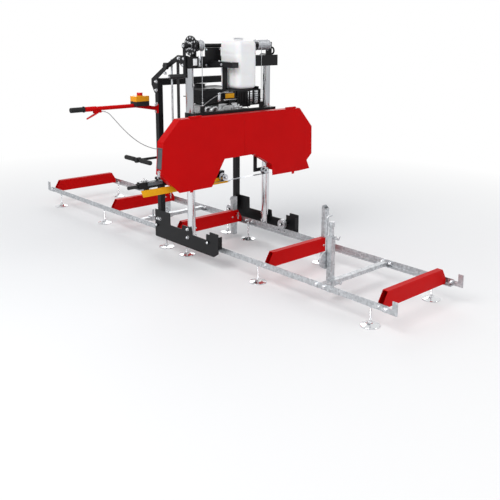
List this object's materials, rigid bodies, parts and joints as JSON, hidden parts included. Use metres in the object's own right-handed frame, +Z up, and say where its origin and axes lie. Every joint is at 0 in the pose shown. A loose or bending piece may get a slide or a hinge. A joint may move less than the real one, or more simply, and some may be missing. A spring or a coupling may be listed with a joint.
{
  "type": "portable sawmill",
  "caption": "Portable band sawmill: a saw head with an engine rides round posts on a hand-pushed carriage that rolls along an angle track with log bunks, stops and clamps.",
  "frame": {"origin": "middle of the length and width, on the ground under the leveling feet", "axes": "+X along the track toward the end with the lever clamp, +Y across it away from the operator's handle, +Z up"},
  "size_m": [4.106, 1.771, 1.611],
  "materials": {
    "red_paint": "gloss powder coat",
    "black_paint": "satin powder coat",
    "galvanised": "zinc plated",
    "chrome_steel": "polished",
    "bare_steel": "machined",
    "cast_iron": "as cast, machined rim",
    "cast_alloy": "as cast",
    "black_rubber": "matt",
    "black_plastic": "moulded",
    "white_plastic": "translucent moulded",
    "red_plastic": "moulded",
    "grey_paint": "satin paint"
  },
  "bodies": {
    "track": {"rail_near": "galvanised", "rail_far": "galvanised", "bunks": "red_paint", "cross_members": "galvanised", "end_stops": "galvanised", "splice_plates": "galvanised", "leveling_feet": "galvanised"},
    "carriage": {"side_plate_near": "black_paint", "side_plate_far": "black_paint", "rear_frame": "black_paint", "lift_posts": "chrome_steel", "top_beam": "black_paint", "winch_cover": "black_paint", "push_handle": "red_paint", "handle_grip": "black_rubber", "stop_box": "black_plastic", "depth_gauge": "galvanised", "water_tank": "white_plastic", "tank_tray": "black_paint", "lift_ropes": "bare_steel", "throttle_cable": "black_plastic"},
    "head": {"head_frame": "black_paint", "guard_back": "red_paint", "saw_band": "bare_steel", "engine_block": "cast_alloy", "engine_shroud": "black_paint", "fuel_tank": "black_paint", "muffler": "black_paint", "drive_belt": "black_rubber"},
    "winch": {"winch_shaft": "black_paint", "crank_arm": "black_paint"},
    "front_wheels": {"front_wheels": "bare_steel"},
    "rear_wheels": {"rear_wheels": "bare_steel"},
    "crank_grip": {"crank_grip": "black_plastic"},
    "index_pin": {"index_pin": "bare_steel"},
    "throttle_lever": {"throttle_lever": "red_plastic"},
    "stop_button": {"stop_button": "red_plastic"},
    "water_cap": {"water_cap": "white_plastic"},
    "fuel_cap": {"fuel_cap": "black_plastic"},
    "guard_door_near": {"guard_door_near": "red_paint"},
    "guard_door_far": {"guard_door_far": "red_paint"},
    "band_wheel_near": {"band_wheel_near": "cast_iron"},
    "band_wheel_far": {"band_wheel_far": "cast_iron"},
    "drive_pulley": {"drive_pulley": "cast_iron"},
    "tension_slide": {"tension_slide": "bare_steel"},
    "tension_handle": {"tension_handle": "black_paint"},
    "guide_arm": {"guide_arm": "grey_paint"},
    "guide_roller_near": {"guide_roller_near": "bare_steel"},
    "guide_roller_far": {"guide_roller_far": "bare_steel"},
    "clamp_slide_front": {"clamp_slide_front": "galvanised"},
    "clamp_dog_front": {"clamp_dog_front": "galvanised"},
    "clamp_lever_front": {"clamp_lever_front": "galvanised"},
    "clamp_slide_rear": {"clamp_slide_rear": "galvanised"},
    "clamp_dog_rear": {"clamp_dog_rear": "galvanised"},
    "log_stop_1": {"log_stop_1": "galvanised"},
    "log_stop_2": {"log_stop_2": "galvanised"},
    "log_stop_3": {"log_stop_3": "galvanised"},
    "stop_screw_1": {"stop_screw_1": "bare_steel"},
    "stop_screw_2": {"stop_screw_2": "bare_steel"},
    "stop_screw_3": {"stop_screw_3": "bare_steel"}
  },
  "joints": [
    {"name": "carriage_travel", "type": "slide", "parent": "track", "child": "carriage", "axis": [1, 0, 0], "range_m": [-1.812, 1.525]},
    {"name": "front_wheels_roll", "type": "hinge", "parent": "carriage", "child": "front_wheels", "pos_m": [0.452, 0.1925, 0.197], "axis": [0, 1, 0], "range_deg": [-4000, 4000]},
    {"name": "rear_wheels_roll", "type": "hinge", "parent": "carriage", "child": "rear_wheels", "pos_m": [-0.165, 0.1925, 0.197], "axis": [0, 1, 0], "range_deg": [-4000, 4000]},
    {"name": "head_lift", "type": "slide", "parent": "carriage", "child": "head", "axis": [0, 0, 1], "range_m": [-0.335, 0.12828], "deforming": ["lift_ropes", "throttle_cable"]},
    {"name": "crank_turn", "type": "hinge", "parent": "carriage", "child": "winch", "pos_m": [0.222, -0.1875, 1.543], "axis": [0, 1, 0], "range_deg": [-230, 560]},
    {"name": "crank_grip_spin", "type": "hinge", "parent": "winch", "child": "crank_grip", "pos_m": [0.222, -0.2575, 1.338], "axis": [0, 1, 0], "continuous": true},
    {"name": "index_pin_engage", "type": "slide", "parent": "carriage", "child": "index_pin", "axis": [0, -1, 0], "range_m": [0, 0.012]},
    {"name": "throttle_squeeze", "type": "hinge", "parent": "carriage", "child": "throttle_lever", "pos_m": [-0.134, -0.6885, 1.093], "axis": [-1, 0, 0], "range_deg": [0, 18], "stiffness_Nm_per_rad": 0.4},
    {"name": "stop_press", "type": "slide", "parent": "carriage", "child": "stop_button", "axis": [0, 0, 1], "range_m": [-0.005, 0], "stiffness_N_per_m": 1500},
    {"name": "guard_door_near_lift", "type": "hinge", "parent": "head", "child": "guard_door_near", "pos_m": [0.398, -0.2595, 1.079], "axis": [0, -1, 0], "range_deg": [0, 95]},
    {"name": "guard_door_far_lift", "type": "hinge", "parent": "head", "child": "guard_door_far", "pos_m": [0.398, 0.6445, 1.079], "axis": [0, -1, 0], "range_deg": [0, 95]},
    {"name": "band_wheel_far_spin", "type": "hinge", "parent": "head", "child": "band_wheel_far", "pos_m": [0.366, 0.6495, 0.815], "axis": [1, 0, 0], "continuous": true},
    {"name": "band_wheel_near_spin", "type": "hinge", "parent": "tension_slide", "child": "band_wheel_near", "pos_m": [0.366, -0.2645, 0.815], "axis": [1, 0, 0], "continuous": true},
    {"name": "drive_pulley_spin", "type": "hinge", "parent": "head", "child": "drive_pulley", "pos_m": [0.323, 0.2525, 0.985], "axis": [1, 0, 0], "continuous": true},
    {"name": "tension_slide_travel", "type": "slide", "parent": "head", "child": "tension_slide", "axis": [0, 1, 0], "range_m": [0, 0.012]},
    {"name": "tension_handle_turn", "type": "hinge", "parent": "head", "child": "tension_handle", "pos_m": [0.287, -0.6455, 0.815], "axis": [0, 1, 0], "range_deg": [-60, 1560]},
    {"name": "guide_arm_slide", "type": "slide", "parent": "head", "child": "guide_arm", "axis": [0, 1, 0], "range_m": [-0.03, 0.2]},
    {"name": "guide_roller_near_spin", "type": "hinge", "parent": "guide_arm", "child": "guide_roller_near", "pos_m": [0.362, 0.0175, 0.62101], "axis": [1, 0, 0], "continuous": true},
    {"name": "guide_roller_far_spin", "type": "hinge", "parent": "head", "child": "guide_roller_far", "pos_m": [0.362, 0.4175, 0.62101], "axis": [1, 0, 0], "continuous": true},
    {"name": "fuel_cap_turn", "type": "hinge", "parent": "head", "child": "fuel_cap", "pos_m": [0.02, 0.0725, 1.247], "axis": [0, 0, 1], "range_deg": [0, 120]},
    {"name": "water_cap_turn", "type": "hinge", "parent": "carriage", "child": "water_cap", "pos_m": [0.3875, 0.1325, 1.597], "axis": [0, 0, 1], "range_deg": [0, 120]},
    {"name": "log_stop_1_slide", "type": "slide", "parent": "track", "child": "log_stop_1", "axis": [0, 0, 1], "range_m": [-0.015, 0.08]},
    {"name": "stop_screw_1_turn", "type": "hinge", "parent": "track", "child": "stop_screw_1", "pos_m": [-0.91, 0.4395, 0.192], "axis": [1, 0, 0], "range_deg": [-180, 180]},
    {"name": "log_stop_2_slide", "type": "slide", "parent": "track", "child": "log_stop_2", "axis": [0, 0, 1], "range_m": [-0.015, 0.08]},
    {"name": "stop_screw_2_turn", "type": "hinge", "parent": "track", "child": "stop_screw_2", "pos_m": [0.01, 0.4395, 0.192], "axis": [1, 0, 0], "range_deg": [-180, 180]},
    {"name": "log_stop_3_slide", "type": "slide", "parent": "track", "child": "log_stop_3", "axis": [0, 0, 1], "range_m": [-0.015, 0.08]},
    {"name": "stop_screw_3_turn", "type": "hinge", "parent": "track", "child": "stop_screw_3", "pos_m": [1.006, 0.4395, 0.192], "axis": [1, 0, 0], "range_deg": [-180, 180]},
    {"name": "clamp_slide_front_travel", "type": "slide", "parent": "track", "child": "clamp_slide_front", "axis": [0, 1, 0], "range_m": [0, 0.33]},
    {"name": "clamp_dog_front_travel", "type": "slide", "parent": "clamp_slide_front", "child": "clamp_dog_front", "axis": [0, 0, 1], "range_m": [-0.03, 0.04]},
    {"name": "clamp_lever_front_turn", "type": "hinge", "parent": "clamp_slide_front", "child": "clamp_lever_front", "pos_m": [1.398, 0.0025, 0.265], "axis": [-1, 0, 0], "range_deg": [-50, 0]},
    {"name": "clamp_slide_rear_travel", "type": "slide", "parent": "track", "child": "clamp_slide_rear", "axis": [0, 1, 0], "range_m": [-0.06, 0.06]},
    {"name": "clamp_dog_rear_travel", "type": "slide", "parent": "track", "child": "clamp_dog_rear", "axis": [0, 1, 0], "range_m": [0, 0.28]}
  ],
  "couplings": [
    {"joint": "front_wheels_roll", "follows": "carriage_travel", "rad_per_m": 32.258},
    {"joint": "rear_wheels_roll", "follows": "carriage_travel", "rad_per_m": 32.258},
    {"joint": "crank_turn", "follows": "head_lift", "rad_per_m": -28.571},
    {"joint": "band_wheel_near_spin", "follows": "band_wheel_far_spin", "ratio": 1},
    {"joint": "drive_pulley_spin", "follows": "band_wheel_far_spin", "ratio": 2.381},
    {"joint": "tension_handle_turn", "follows": "tension_slide_travel", "rad_per_m": 2094.4}
  ]
}
